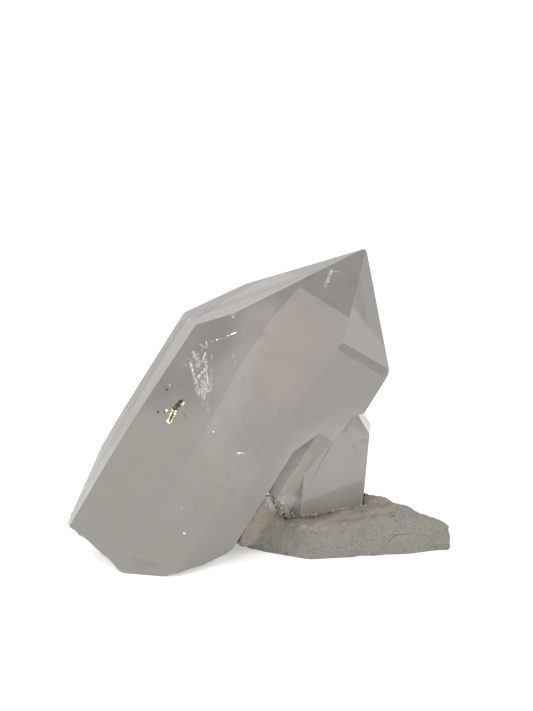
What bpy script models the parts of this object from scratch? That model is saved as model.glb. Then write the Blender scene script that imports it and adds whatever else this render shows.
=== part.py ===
"""Quartz crystal cluster.

A large six-sided quartz point leans to the right on its broken foot. A parallel companion and a
shorter side crystal have grown together with it under its right side, so the three are one solid.
They stand in a small slab of their matrix rock, which is a second solid.

The cluster rests on the plane z = 0, with the centre of its box on the origin. It is seen from -Y.
"""

import math

import bmesh
import bpy
from mathutils import Matrix, Vector, noise

MM = 0.001
CLUSTER = "quartz_crystal_cluster"

# Quartz: six prism faces, each capped by a rhombohedral face at about 51.8 degrees to the base
SIDES = ("right", "back_right", "back_left", "left", "front_left", "front_right")
SIDE_STEP = 60.0
RHOMB_SLOPE = 51.8
BLANK = 400 * MM
ON_PLANE = 1e-7
MERGE = 0.01 * MM

# Main point: where its tip stands, how it leans, and its turn about its own axis, in degrees
MAIN_TIP = Vector((29.8, 8.1, 87.9)) * MM
MAIN_LEAN_BACK = 12.0
MAIN_LEAN_RIGHT = 31.85
MAIN_NOD = 3.5
MAIN_TURN = 18.0
MAIN_PRISM = {
    "right": 23.2 * MM,
    "back_right": 23.6 * MM,
    "back_left": 25.0 * MM,
    "left": 36.5 * MM,
    "front_left": 27.5 * MM,
    "front_right": 21.1 * MM,
}
# The faces above the prism: their slope, and how far each one clears the tip
MAIN_CAP = {
    "right": (50.6, 0.3 * MM),
    "back_right": (RHOMB_SLOPE, 0.0),
    "back_left": (50.6, 0.3 * MM),
    "left": (51.9, 0.5 * MM),
    "front_left": (52.5, 0.0),
    "front_right": (51.7, 0.0),
}
# Smaller faces that trim the main point: azimuth, slope and distance from the tip
MAIN_TRIMS = {
    "left_shoulder": (138.0, 84.2, 20.3 * MM),
    "right_shoulder": (-16.0, 78.0, 18.7 * MM),
    "left_taper_up": (198.0, 88.4, 34.3 * MM),
    "left_taper_down": (198.0, 91.3, 38.6 * MM),
    "back_left_taper": (138.0, 93.3, 27.8 * MM),
}

# Recess under the main point's right side: the lower prism is narrower there, below an overhang
# whose underside has two slopes, given as rise along the axis for each unit to the right
RECESS_DISTANCE = 6.8 * MM
OVERHANG_INNER = (Vector((12.5, 0.0, -61.8)) * MM, 2.15)
OVERHANG_OUTER = (Vector((18.7, 0.0, -48.5)) * MM, 1.0)

# Broken foot of the main point, as planes in its own frame: a point, rise to the right, rise backwards
FOOT_PLANES = (
    (Vector((-12.0, -25.5, -116.0)) * MM, -0.12, 0.02),
    (Vector((-32.0, -17.0, -113.0)) * MM, -2.17, 1.18),
    (Vector((0.0, 0.0, -104.2)) * MM, 0.66, 0.24),
    (Vector((3.6, -27.6, -106.8)) * MM, 0.98, 0.15),
    (Vector((8.5, -22.0, -101.3)) * MM, 1.8, 0.1),
)
FOOT_GRID = 34
FOOT_SPAN = 92 * MM
FOOT_DEPTH = 60 * MM
FOOT_CHIP = 2.2 * MM
FOOT_CHIP_SIZE = 13 * MM
FOOT_SCALLOP = 1.0 * MM
FOOT_SCALLOP_SIZE = 5.85 * MM

# Companion: shares the main point's axis and turn, set back from its faces, and rises inside it
COMPANION_PRISM = {
    "right": 21.2 * MM,
    "back_right": 20.8 * MM,
    "back_left": 6.0 * MM,
    "left": 2.0 * MM,
    "front_left": 6.0 * MM,
    "front_right": 18.7 * MM,
}
COMPANION_TOP = -34 * MM
COMPANION_FOOT = 5.0 * MM
# The companion ends in a slanting fracture at its lower left: a point of it, and the way it faces
COMPANION_BREAK = (Vector((2.6, -14.0, 16.2)) * MM, Vector((-0.751, -0.205, -0.627)))

# Side crystal: almost upright, its point hidden inside the main one
SIDE_TIP = Vector((21.2, 9.9, 48.6)) * MM
SIDE_LEAN_RIGHT = 4.5
SIDE_TURN = -6.0
SIDE_PRISM = {
    "right": 12.2 * MM,
    "back_right": 11.6 * MM,
    "back_left": 12.0 * MM,
    "left": 15.0 * MM,
    "front_left": 19.0 * MM,
    "front_right": 13.0 * MM,
}
SIDE_FOOT = 4.2 * MM

# Matrix slab: its block, then the flat breaks that shape it, each as a point and the way it faces
SLAB_LOW = Vector((-18.0, -22.0, -3.0)) * MM
SLAB_HIGH = Vector((57.0, 28.0, 16.0)) * MM
SLAB_TOP_BREAKS = (
    (Vector((21.0, -4.0, 9.6)) * MM, Vector((-0.09, 0.05, 1.0))),
    (Vector((41.0, -11.0, 12.2)) * MM, Vector((0.24, 0.12, 1.0))),
    (Vector((46.5, -4.0, 10.2)) * MM, Vector((0.55, 0.5, 1.0))),
    (Vector((50.0, -11.0, 9.2)) * MM, Vector((0.8, -0.1, 1.0))),
)
SLAB_SIDE_BREAKS = (
    (Vector((30.0, -16.0, 0.0)) * MM, Vector((0.2, -1.0, 0.22))),
    (Vector((14.6, -19.0, 1.5)) * MM, Vector((-0.42, -1.0, 0.44))),
    (Vector((-1.4, -11.5, 0.0)) * MM, Vector((-0.62, -0.78, 0.3))),
    (Vector((-13.0, -4.0, 0.0)) * MM, Vector((-1.0, -0.25, 0.3))),
    (Vector((55.2, -8.0, 0.0)) * MM, Vector((1.0, -0.2, 0.15))),
    (Vector((54.0, 8.0, 0.0)) * MM, Vector((0.85, 0.62, 0.3))),
    (Vector((40.0, 20.0, 0.0)) * MM, Vector((0.35, 1.0, 0.35))),
    (Vector((10.0, 25.0, 0.0)) * MM, Vector((-0.15, 1.0, 0.25))),
    (Vector((-14.0, 14.0, 0.0)) * MM, Vector((-1.0, 0.6, 0.2))),
)
# Heel of the slab: rock that fills the nook between the main point's right edge and the companion
HEEL_CORNERS = (
    Vector((-1.3, -17.6, 20.2)) * MM,
    Vector((-9.2, -19.5, 4.7)) * MM,
    Vector((4.4, -8.5, 10.1)) * MM,
    Vector((-1.3, -12.5, 1.5)) * MM,
    Vector((3.6, -11.2, 17.5)) * MM,
    Vector((-0.6, -6.0, 14.3)) * MM,
    Vector((-8.8, -8.0, 1.0)) * MM,
    Vector((-1.3, -6.0, -1.0)) * MM,
    Vector((5.0, -4.0, 9.0)) * MM,
)
SLAB_GRAIN = 1.5 * MM
SLAB_KEEP = 0.6

# Relief of the slab: smooth lumps as height and width, and flat chips between cracks
SLAB_LUMPS = ((0.9 * MM, 11 * MM), (0.4 * MM, 4.5 * MM))
SLAB_CHIP = 1.1 * MM
SLAB_CHIP_SIZE = 7.0 * MM
SLAB_CHIP_MEAN = 0.45

# Finishes: base colour, roughness, and for the quartz transmission and refractive index
QUARTZ_COLOUR = (0.86, 0.84, 0.80)
QUARTZ_ROUGHNESS = 0.06
QUARTZ_TRANSMISSION = 0.9
QUARTZ_IOR = 1.544
ROCK_COLOUR = (0.31, 0.28, 0.235)
ROCK_ROUGHNESS = 0.86

# Space left between the crystals and the slab that they grew from
JOINT_GAP = 0.3 * MM
SLAB_SEED = Vector((3.1, 7.7, 1.9))
FOOT_SEED = Vector((5.3, 2.2, 8.4))


def clear_scene():
    for thing in list(bpy.data.objects):
        bpy.data.objects.remove(thing, do_unlink=True)


def collection(name, hidden=False):
    group = bpy.data.collections.new(name)
    bpy.context.scene.collection.children.link(group)
    group.hide_render = hidden
    return group


def finish(name, colour, roughness, transmission=0.0, ior=1.5):
    material = bpy.data.materials.new(name)
    material.use_nodes = True
    surface = material.node_tree.nodes["Principled BSDF"]
    surface.inputs["Base Color"].default_value = (*colour, 1.0)
    surface.inputs["Roughness"].default_value = roughness
    surface.inputs["Metallic"].default_value = 0.0
    surface.inputs["Transmission Weight"].default_value = transmission
    surface.inputs["IOR"].default_value = ior
    return material


def outward(azimuth, slope):
    """Direction that a face looks in, from its azimuth and its slope to the base, in degrees."""
    turn = math.radians(azimuth)
    tilt = math.radians(slope)
    return Vector((math.sin(tilt) * math.cos(turn), math.sin(tilt) * math.sin(turn), math.cos(tilt)))


def slice_off(mesh, point, normal):
    """Cut away all that lies beyond a plane, and close the cut."""
    geometry = mesh.verts[:] + mesh.edges[:] + mesh.faces[:]
    bmesh.ops.bisect_plane(
        mesh, geom=geometry, dist=ON_PLANE, plane_co=point, plane_no=normal.normalized(), clear_outer=True
    )
    rim = [edge for edge in mesh.edges if edge.is_boundary]
    bmesh.ops.holes_fill(mesh, edges=rim, sides=0)


def object_from(mesh, name, group):
    """Turn a bmesh into an object with its faces looking out."""
    bmesh.ops.recalc_face_normals(mesh, faces=mesh.faces[:])
    data = bpy.data.meshes.new(name)
    mesh.to_mesh(data)
    mesh.free()
    thing = bpy.data.objects.new(name, data)
    group.objects.link(thing)
    return thing


def prism_blank(prism, turn, grow):
    """Block cut down to the six prism faces, the axis along Z."""
    mesh = bmesh.new()
    bmesh.ops.create_cube(mesh, size=BLANK)
    for step, side in enumerate(SIDES):
        normal = outward(turn + SIDE_STEP * step, 90.0)
        slice_off(mesh, normal * (prism[side] + grow), normal)
    return mesh


def cap(mesh, faces, turn, grow):
    """Give the prism its six rhombohedral faces, which meet at or just above the frame's origin."""
    for step, side in enumerate(SIDES):
        slope, lift = faces[side]
        normal = outward(turn + SIDE_STEP * step, slope)
        slice_off(mesh, normal * (lift + grow), normal)


def rising(rise_right, rise_back):
    """Upward normal of a plane with these rises to the right and backwards."""
    return Vector((-rise_right, -rise_back, 1.0))


def main_frame():
    lean = Matrix.Rotation(math.radians(-MAIN_LEAN_BACK), 4, "X")
    lean = lean @ Matrix.Rotation(math.radians(MAIN_LEAN_RIGHT), 4, "Y")
    lean = lean @ Matrix.Rotation(math.radians(MAIN_NOD), 4, "X")
    return Matrix.Translation(MAIN_TIP) @ lean


def side_frame():
    return Matrix.Translation(SIDE_TIP) @ Matrix.Rotation(math.radians(SIDE_LEAN_RIGHT), 4, "Y")


def main_point(group, grow=0.0):
    mesh = prism_blank(MAIN_PRISM, MAIN_TURN, grow)
    cap(mesh, MAIN_CAP, MAIN_TURN, grow)
    for azimuth, slope, distance in MAIN_TRIMS.values():
        normal = outward(azimuth, slope)
        slice_off(mesh, normal * (distance + grow), normal)
    mesh.transform(main_frame())
    return object_from(mesh, "main_point", group)


def recess_cutter(group, grow=0.0):
    """What is missing under the main point's right side."""
    mesh = bmesh.new()
    bmesh.ops.create_cube(mesh, size=BLANK)
    inward = -outward(MAIN_TURN, 90.0)
    slice_off(mesh, -inward * (RECESS_DISTANCE + grow), inward)
    for point, rise in (OVERHANG_INNER, OVERHANG_OUTER):
        up = rising(rise, 0.0).normalized()
        slice_off(mesh, point - up * grow, up)
    mesh.transform(main_frame())
    return object_from(mesh, "recess_cutter", group)


def foot_height(place, grow):
    """Height of the broken foot below a place in the main point's frame."""
    levels = []
    for point, rise_right, rise_back in FOOT_PLANES:
        shift = place - point
        levels.append(point.z + rise_right * shift.x + rise_back * shift.y)
    chip = FOOT_CHIP * noise.noise(place / FOOT_CHIP_SIZE + FOOT_SEED)
    scallop = FOOT_SCALLOP * abs(noise.noise(place / FOOT_SCALLOP_SIZE + FOOT_SEED))
    return max(levels) + chip - scallop - grow


def foot_cutter(group, grow=0.0):
    """Rough block whose top is the fracture at the foot of the main point."""
    mesh = bmesh.new()
    bmesh.ops.create_grid(mesh, x_segments=FOOT_GRID, y_segments=FOOT_GRID, size=FOOT_SPAN / 2)
    top = mesh.verts[:]
    for vertex in top:
        vertex.co.z = foot_height(vertex.co.xy.to_3d(), grow)
    block = bmesh.ops.extrude_face_region(mesh, geom=mesh.faces[:])
    for vertex in block["geom"]:
        if isinstance(vertex, bmesh.types.BMVert):
            vertex.co.z = -BLANK / 2 - FOOT_DEPTH
    mesh.transform(main_frame())
    return object_from(mesh, "foot_cutter", group)


def companion(group, grow=0.0):
    mesh = prism_blank(COMPANION_PRISM, MAIN_TURN, grow)
    slice_off(mesh, Vector((0.0, 0.0, COMPANION_TOP)), Vector((0.0, 0.0, 1.0)))
    mesh.transform(main_frame())
    slice_off(mesh, Vector((0.0, 0.0, COMPANION_FOOT - grow)), Vector((0.0, 0.0, -1.0)))
    point, facing = COMPANION_BREAK
    slice_off(mesh, point + facing * grow, facing)
    return object_from(mesh, "companion", group)


def side_crystal(group, grow=0.0):
    mesh = prism_blank(SIDE_PRISM, SIDE_TURN, grow)
    cap(mesh, dict.fromkeys(SIDES, (RHOMB_SLOPE, 0.0)), SIDE_TURN, grow)
    mesh.transform(side_frame())
    slice_off(mesh, Vector((0.0, 0.0, SIDE_FOOT - grow)), Vector((0.0, 0.0, -1.0)))
    return object_from(mesh, "side_crystal", group)


def combine(thing, other, operation):
    """Boolean one object with another, and keep the result as the first one's mesh."""
    modifier = thing.modifiers.new(operation.lower(), "BOOLEAN")
    modifier.operation = operation
    modifier.solver = "EXACT"
    modifier.object = other
    depsgraph = bpy.context.evaluated_depsgraph_get()
    result = bpy.data.meshes.new_from_object(thing.evaluated_get(depsgraph))
    thing.modifiers.clear()
    old = thing.data
    thing.data = result
    bpy.data.meshes.remove(old)


def remove(thing):
    bpy.data.objects.remove(thing, do_unlink=True)


def stand_flat(thing):
    """Trim an object level with the surface that it rests on."""
    mesh = bmesh.new()
    mesh.from_mesh(thing.data)
    bmesh.ops.remove_doubles(mesh, verts=mesh.verts[:], dist=MERGE)
    slice_off(mesh, Vector((0.0, 0.0, 0.0)), Vector((0.0, 0.0, -1.0)))
    bmesh.ops.triangulate(mesh, faces=mesh.faces[:])
    bmesh.ops.recalc_face_normals(mesh, faces=mesh.faces[:])
    mesh.to_mesh(thing.data)
    mesh.free()


def grown_together(group, cutters, grow=0.0):
    """The three crystals as one body; grow swells it to cut a fitting socket."""
    body = main_point(group, grow)
    for cutter in (recess_cutter(cutters, grow), foot_cutter(cutters, grow)):
        combine(body, cutter, "DIFFERENCE")
        remove(cutter)
    for crystal in (companion(cutters, grow), side_crystal(cutters, grow)):
        combine(body, crystal, "UNION")
        remove(crystal)
    return body


def broken_block(name, group):
    """Block of the slab with its flat breaks."""
    mesh = bmesh.new()
    bmesh.ops.create_cube(mesh, size=1.0)
    bmesh.ops.scale(mesh, vec=SLAB_HIGH - SLAB_LOW, verts=mesh.verts[:])
    bmesh.ops.translate(mesh, vec=(SLAB_LOW + SLAB_HIGH) / 2, verts=mesh.verts[:])
    for point, normal in SLAB_TOP_BREAKS + SLAB_SIDE_BREAKS:
        slice_off(mesh, point, normal)
    return object_from(mesh, name, group)


def heel_lump(group):
    """Faceted lump that spans the heel's corners."""
    mesh = bmesh.new()
    corners = [mesh.verts.new(corner) for corner in HEEL_CORNERS]
    bmesh.ops.convex_hull(mesh, input=corners)
    bmesh.ops.recalc_face_normals(mesh, faces=mesh.faces[:])
    return object_from(mesh, "heel", group)


def slab_block(group, cutters):
    """Slab and its heel in one, remeshed to an even grain."""
    block = broken_block("matrix_slab", group)
    heel = heel_lump(cutters)
    combine(block, heel, "UNION")
    remove(heel)
    remesh = block.modifiers.new("grain", "REMESH")
    remesh.mode = "VOXEL"
    remesh.voxel_size = SLAB_GRAIN
    depsgraph = bpy.context.evaluated_depsgraph_get()
    result = bpy.data.meshes.new_from_object(block.evaluated_get(depsgraph))
    block.modifiers.clear()
    block.data = result
    return block


def roughen(block):
    """Push the slab's surface in and out by lumps of two sizes and by chips."""
    mesh = bmesh.new()
    mesh.from_mesh(block.data)
    mesh.normal_update()
    moves = []
    for vertex in mesh.verts:
        push = 0.0
        for height, width in SLAB_LUMPS:
            push += height * noise.noise(vertex.co / width + SLAB_SEED)
        cells = noise.voronoi(vertex.co / SLAB_CHIP_SIZE + SLAB_SEED)[0]
        push += SLAB_CHIP * (SLAB_CHIP_MEAN - cells[0])
        moves.append(vertex.normal * push)
    for vertex, move in zip(mesh.verts, moves):
        vertex.co += move
    mesh.to_mesh(block.data)
    mesh.free()


def thin_out(block, keep):
    """Collapse the even grain into fewer, more irregular facets."""
    modifier = block.modifiers.new("facets", "DECIMATE")
    modifier.ratio = keep
    depsgraph = bpy.context.evaluated_depsgraph_get()
    result = bpy.data.meshes.new_from_object(block.evaluated_get(depsgraph))
    block.modifiers.clear()
    block.data = result


def matrix_slab(group, cutters):
    block = slab_block(group, cutters)
    roughen(block)
    thin_out(block, SLAB_KEEP)
    socket = grown_together(cutters, cutters, JOINT_GAP)
    combine(block, socket, "DIFFERENCE")
    remove(socket)
    stand_flat(block)
    keep_largest(block)
    return block


def keep_largest(thing):
    """Drop chips that a cut has left loose beside the main body."""
    mesh = bmesh.new()
    mesh.from_mesh(thing.data)
    unseen = set(mesh.verts)
    islands = []
    while unseen:
        island = set()
        edge_of_search = [unseen.pop()]
        while edge_of_search:
            vertex = edge_of_search.pop()
            island.add(vertex)
            for edge in vertex.link_edges:
                other = edge.other_vert(vertex)
                if other in unseen:
                    unseen.remove(other)
                    edge_of_search.append(other)
        islands.append(island)
    largest = max(islands, key=len)
    loose = [vertex for island in islands if island is not largest for vertex in island]
    bmesh.ops.delete(mesh, geom=loose, context="VERTS")
    mesh.to_mesh(thing.data)
    mesh.free()


def box_of(things):
    corners = [vertex.co for thing in things for vertex in thing.data.vertices]
    low = Vector([min(corner[axis] for corner in corners) for axis in range(3)])
    high = Vector([max(corner[axis] for corner in corners) for axis in range(3)])
    return low, high


def centre_on_origin(things, group):
    """Carry the finished pieces on one empty that puts their box's bottom centre on the origin."""
    low, high = box_of(things)
    carrier = bpy.data.objects.new("cluster_place", None)
    group.objects.link(carrier)
    carrier.location = (-(low.x + high.x) / 2, -(low.y + high.y) / 2, -low.z)
    for thing in things:
        thing.parent = carrier


def build():
    clear_scene()
    parts = collection(CLUSTER)
    cutters = collection("cutters", hidden=True)
    crystals = grown_together(parts, cutters)
    crystals.name = "joined_crystals"
    stand_flat(crystals)
    slab = matrix_slab(parts, cutters)
    quartz = finish("clear_quartz", QUARTZ_COLOUR, QUARTZ_ROUGHNESS, QUARTZ_TRANSMISSION, QUARTZ_IOR)
    rock = finish("matrix_rock", ROCK_COLOUR, ROCK_ROUGHNESS)
    for thing, material in ((crystals, quartz), (slab, rock)):
        thing.data.materials.clear()
        thing.data.materials.append(material)
    centre_on_origin((crystals, slab), parts)


build()
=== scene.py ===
"""Looks of a quartz crystal cluster that stands on a slab of its matrix rock.

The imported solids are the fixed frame. The three joined crystals get a skin with worn edges, faintly
uneven faces and a conchoidal foot, and carry a feathery veil, fractures, flakes and specks. The slab
gets its broken and stained stone, and crumbs lie in the joint between the two. Lengths are in metres,
and MM turns millimetres into them.
"""

import logging
import math
import random
from dataclasses import dataclass, field
from enum import Enum
from functools import reduce
from typing import NamedTuple

import bmesh
import bpy
from mathutils import Matrix, Vector, noise
from mathutils.bvhtree import BVHTree


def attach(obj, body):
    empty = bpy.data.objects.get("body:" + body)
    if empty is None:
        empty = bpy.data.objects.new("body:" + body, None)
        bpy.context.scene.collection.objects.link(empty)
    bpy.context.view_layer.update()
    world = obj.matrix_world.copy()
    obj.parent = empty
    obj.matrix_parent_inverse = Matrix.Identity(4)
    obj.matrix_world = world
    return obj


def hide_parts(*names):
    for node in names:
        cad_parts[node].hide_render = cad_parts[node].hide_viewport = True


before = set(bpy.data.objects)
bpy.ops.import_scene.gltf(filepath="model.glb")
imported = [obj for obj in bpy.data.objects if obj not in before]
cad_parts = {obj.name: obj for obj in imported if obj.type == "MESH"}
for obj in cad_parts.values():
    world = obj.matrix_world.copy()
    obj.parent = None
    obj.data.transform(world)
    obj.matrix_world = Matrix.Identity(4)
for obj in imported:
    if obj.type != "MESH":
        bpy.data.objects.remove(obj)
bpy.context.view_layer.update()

LOG = logging.getLogger("quartz_cluster")

MM = 0.001
QUARTZ_IOR = 1.544

CRYSTALS = "joined_crystals"
SLAB = "matrix_slab"

Pixel = tuple[float, float]
Triple = tuple[float, float, float]
Waves = tuple[tuple[float, float], ...]
Mesh = bmesh.types.BMesh
Layer = bmesh.types.BMLayerItem
Piece = bpy.types.Object
Material = bpy.types.Material
Socket = bpy.types.NodeSocket
Value = float | Triple | Vector | Socket


class Shape(Enum):
    """Forms of a small piece: its shares of its size across, along and through."""

    PLATE = (1.0, 0.8, 0.10)
    SPLINTER = (0.30, 1.7, 0.10)
    GRAIN = (1.0, 0.85, 0.7)


class Surface(Enum):
    """What a face of the crystals is: a grown facet or part of the broken foot."""

    FACET = 0
    FRACTURE = 1


def add_object(name: str, data: bpy.types.ID) -> Piece:
    """Put a camera, a light or a mesh in the scene as an object."""
    added = bpy.data.objects.new(name, data)
    bpy.context.scene.collection.objects.link(added)
    return added


@dataclass(frozen=True)
class PhotoView:
    """The camera at the photograph's angle, and the lines of sight through its pixels.

    Attributes:
        place: Where the lens is.
        pitch: How far the camera looks down, in degrees.
        focal: Focal length in pixels of the photograph.
        width: Width of the photograph in pixels.
        height: Height of the photograph in pixels.
        sensor: Width of the camera's sensor in its own millimetres.
        near: The camera shows nothing that is nearer than this.
    """

    place: Triple = (0.545 * MM, -379.068 * MM, 138.0 * MM)
    pitch: float = 12.0
    focal: float = 1300.0
    width: int = 533
    height: int = 711
    sensor: float = 36.0
    near: float = 10 * MM

    def origin(self) -> Vector:
        """The lens as a vector."""
        return Vector(self.place)

    def ray(self, pixel: Pixel) -> Vector:
        """Direction of the line of sight through a pixel.

        Args:
            pixel: Column and row in the photograph.

        Returns:
            The direction, of length one.
        """
        across = (pixel[0] - self.width / 2) / self.focal
        down = (pixel[1] - self.height / 2) / self.focal
        turn = Matrix.Rotation(math.radians(90.0 - self.pitch), 3, "X")
        return turn @ Vector((across, -down, -1.0)).normalized()

    def build(self) -> Piece:
        """Put the camera in the scene.

        Returns:
            The camera object.
        """
        lens = bpy.data.cameras.new("photo_camera")
        lens.sensor_width = self.sensor
        lens.lens = self.sensor * self.focal / max(self.width, self.height)
        lens.clip_start = self.near
        camera = add_object("photo_camera", lens)
        camera.location = self.place
        camera.rotation_euler = (math.radians(90.0 - self.pitch), 0.0, 0.0)
        bpy.context.scene.camera = camera
        return camera


class Shader:
    """A material's node tree, with short calls for the nodes that the finishes use."""

    def __init__(self, name: str) -> None:
        """Start a material.

        Args:
            name: The material's name.
        """
        self.material = bpy.data.materials.new(name)
        self.material.use_nodes = True
        self.nodes = self.material.node_tree.nodes
        self.surface = self.nodes["Principled BSDF"]
        self.place = self.nodes.new("ShaderNodeTexCoord").outputs["Object"]

    def put(self, socket: Socket, value: Value) -> None:
        """Give an input a plain value or a link.

        Args:
            socket: The input.
            value: A number, a colour or vector, or another node's output.
        """
        if isinstance(value, Socket):
            self.material.node_tree.links.new(value, socket)
        elif socket.type == "RGBA":
            socket.default_value = (*value, 1.0)
        else:
            socket.default_value = value

    def principled(self, **values: Value) -> None:
        """Set inputs of the surface shader, named with underscores for spaces."""
        for name, value in values.items():
            self.put(self.surface.inputs[name.replace("_", " ")], value)

    def mapped(self, turn: Triple = (0.0, 0.0, 0.0), scale: Triple = (1.0, 1.0, 1.0)) -> Socket:
        """Object coordinates, turned and stretched.

        Args:
            turn: Rotation in degrees about each axis.
            scale: Factor along each axis.

        Returns:
            The vector output.
        """
        node = self.nodes.new("ShaderNodeMapping")
        self.put(node.inputs["Vector"], self.place)
        node.inputs["Rotation"].default_value = [math.radians(angle) for angle in turn]
        node.inputs["Scale"].default_value = scale
        return node.outputs["Vector"]

    def clouds(
        self, size: float, detail: float = 3.0, warp: float = 0.0, at: Socket | None = None
    ) -> Socket:
        """Soft noise.

        Args:
            size: Width of its patches.
            detail: How many finer octaves it has.
            warp: How much it is distorted.
            at: Vector to read it at, or the plain coordinates.

        Returns:
            A value from 0 to 1.
        """
        node = self.nodes.new("ShaderNodeTexNoise")
        self.put(node.inputs["Vector"], at or self.place)
        node.inputs["Scale"].default_value = 1.0 / size
        node.inputs["Detail"].default_value = detail
        node.inputs["Distortion"].default_value = warp
        return node.outputs["Fac"]

    def cells(self, size: float) -> Socket:
        """Distance to scattered points.

        Args:
            size: Width of the cells round the points.

        Returns:
            The distance in cells.
        """
        node = self.nodes.new("ShaderNodeTexVoronoi")
        self.put(node.inputs["Vector"], self.place)
        node.inputs["Scale"].default_value = 1.0 / size
        return node.outputs["Distance"]

    def span(self, value: Socket, low: float, high: float, start: float = 0.0, end: float = 1.0) -> Socket:
        """Stretch a value from one range to another, clamped.

        Args:
            value: What is stretched.
            low: Value that becomes start.
            high: Value that becomes end.
            start: First result.
            end: Last result.

        Returns:
            The stretched value.
        """
        node = self.nodes.new("ShaderNodeMapRange")
        node.interpolation_type = "SMOOTHSTEP"
        for name, number in (("From Min", low), ("From Max", high), ("To Min", start), ("To Max", end)):
            node.inputs[name].default_value = number
        self.put(node.inputs["Value"], value)
        return node.outputs["Result"]

    def sum(self, operation: str, first: Value, second: Value) -> Socket:
        """Work out one number from two.

        Args:
            operation: Name of the sum, such as ADD or MULTIPLY.
            first: First number.
            second: Second number.

        Returns:
            The result.
        """
        node = self.nodes.new("ShaderNodeMath")
        node.operation = operation
        self.put(node.inputs[0], first)
        self.put(node.inputs[1], second)
        return node.outputs[0]

    def vector(self, operation: str, first: Value, second: Value | None = None) -> Socket:
        """Work out a vector, or a number, from one or two vectors.

        Args:
            operation: Name of the sum, such as SUBTRACT or LENGTH.
            first: First vector.
            second: Second vector, where the sum has one, or the factor of SCALE.

        Returns:
            The result.
        """
        node = self.nodes.new("ShaderNodeVectorMath")
        node.operation = operation
        self.put(node.inputs[0], first)
        if second is not None:
            self.put(node.inputs["Scale" if operation == "SCALE" else 1], second)
        is_number = operation in ("DOT_PRODUCT", "DISTANCE", "LENGTH")
        return node.outputs["Value" if is_number else "Vector"]

    def toward(self, value: Value, goal: float, share: Socket) -> Socket:
        """Move a value towards a goal by a share of the gap."""
        gap = self.sum("SUBTRACT", goal, value)
        return self.sum("ADD", value, self.sum("MULTIPLY", share, gap))

    def blend(self, share: Value, under: Value, over: Value) -> Socket:
        """Mix two colours.

        Args:
            share: How much of the second shows.
            under: First colour.
            over: Second colour.

        Returns:
            The mixed colour.
        """
        node = self.nodes.new("ShaderNodeMix")
        node.data_type = "RGBA"
        self.put(node.inputs[0], share)
        self.put(node.inputs[6], under)
        self.put(node.inputs[7], over)
        return node.outputs[2]

    def patch(self, centre: Vector, reach: Triple, ragged: float = 0.0, grain: float = 4 * MM) -> Socket:
        """Soft patch round a place.

        Args:
            centre: Where it is.
            reach: Its half lengths along X, Y and Z.
            ragged: How far noise eats into its border, as a share of it.
            grain: Width of that noise.

        Returns:
            1 in the middle, 0 outside.
        """
        offset = self.vector("SUBTRACT", self.place, centre)
        distance = self.vector("LENGTH", self.vector("DIVIDE", offset, reach))
        if ragged:
            wobble = self.sum("MULTIPLY", self.clouds(grain, 4.0), 2.0 * ragged)
            distance = self.sum("ADD", distance, self.sum("SUBTRACT", wobble, ragged))
        return self.span(distance, 0.45, 1.0, 1.0, 0.0)

    def patched(
        self, colour: Socket, tone: Triple, centres: list[Vector], reach: Triple, ragged: float,
        grain: float, strength: float,
    ) -> Socket:
        """Lay ragged patches of a tone over a colour.

        Args:
            colour: The colour below.
            tone: Tone of the patches.
            centres: Where they are.
            reach: Their half lengths along X, Y and Z.
            ragged: How far noise eats into their borders, as a share of them.
            grain: Width of that noise.
            strength: How strongly the tone covers.

        Returns:
            The patched colour.
        """
        for centre in centres:
            share = self.sum("MULTIPLY", self.patch(centre, reach, ragged, grain), strength)
            colour = self.blend(share, colour, tone)
        return colour

    def line(self, mark: "Mark", fray: Socket, core: float) -> Socket:
        """Soft, frayed line between two places.

        Args:
            mark: The line.
            fray: Noise from -1 to 1 that frays it.
            core: Share of its width that shows in full.

        Returns:
            Its share on the line, 0 beside it.
        """
        run = mark.end - mark.start
        offset = self.vector("SUBTRACT", self.place, mark.start)
        along = self.vector("DOT_PRODUCT", offset, run / run.length_squared)
        reached = self.sum("MINIMUM", self.sum("MAXIMUM", along, 0.0), 1.0)
        gap = self.vector("DISTANCE", offset, self.vector("SCALE", run, reached))
        ragged = self.sum("ADD", gap, self.sum("MULTIPLY", fray, 0.5 * mark.width))
        return self.span(ragged, core * mark.width, mark.width, mark.share, 0.0)

    def lines(
        self, marks: list["Mark"], grain: float = 1.0 * MM, amount: float = 1.0, core: float = 0.5
    ) -> Socket:
        """Many frayed lines as one share.

        Args:
            marks: The lines.
            grain: Width of the noise that frays them.
            amount: How strongly it does.
            core: Share of a line's width that shows in full.

        Returns:
            The strongest of them at each place.
        """
        fray = self.span(self.clouds(grain, 4.0, 0.3), 0.3, 0.7, -amount, amount)
        shares = [self.line(mark, fray, core) for mark in marks]
        return reduce(lambda first, second: self.sum("MAXIMUM", first, second), shares)

    def relief(
        self, height: Socket, depth: float, strength: float = 1.0, under: Socket | None = None
    ) -> Socket:
        """Fine bumps.

        Args:
            height: The relief, from 0 to 1.
            depth: Height of a bump.
            strength: Share of its effect.
            under: Normal that the bumps go on.

        Returns:
            The bumped normal.
        """
        node = self.nodes.new("ShaderNodeBump")
        node.inputs["Strength"].default_value = strength
        node.inputs["Distance"].default_value = depth
        self.put(node.inputs["Height"], height)
        if under:
            self.put(node.inputs["Normal"], under)
        return node.outputs["Normal"]

    def attribute(self, name: str) -> Socket:
        """A value stored on the mesh."""
        node = self.nodes.new("ShaderNodeAttribute")
        node.attribute_name = name
        return node.outputs["Fac"]


@dataclass(frozen=True)
class Mark:
    """A line of colour that a finish draws.

    Attributes:
        start: One end.
        end: The other end.
        width: Half its width.
        share: How strongly it shows.
    """

    start: Vector
    end: Vector
    width: float
    share: float = 1.0


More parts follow.
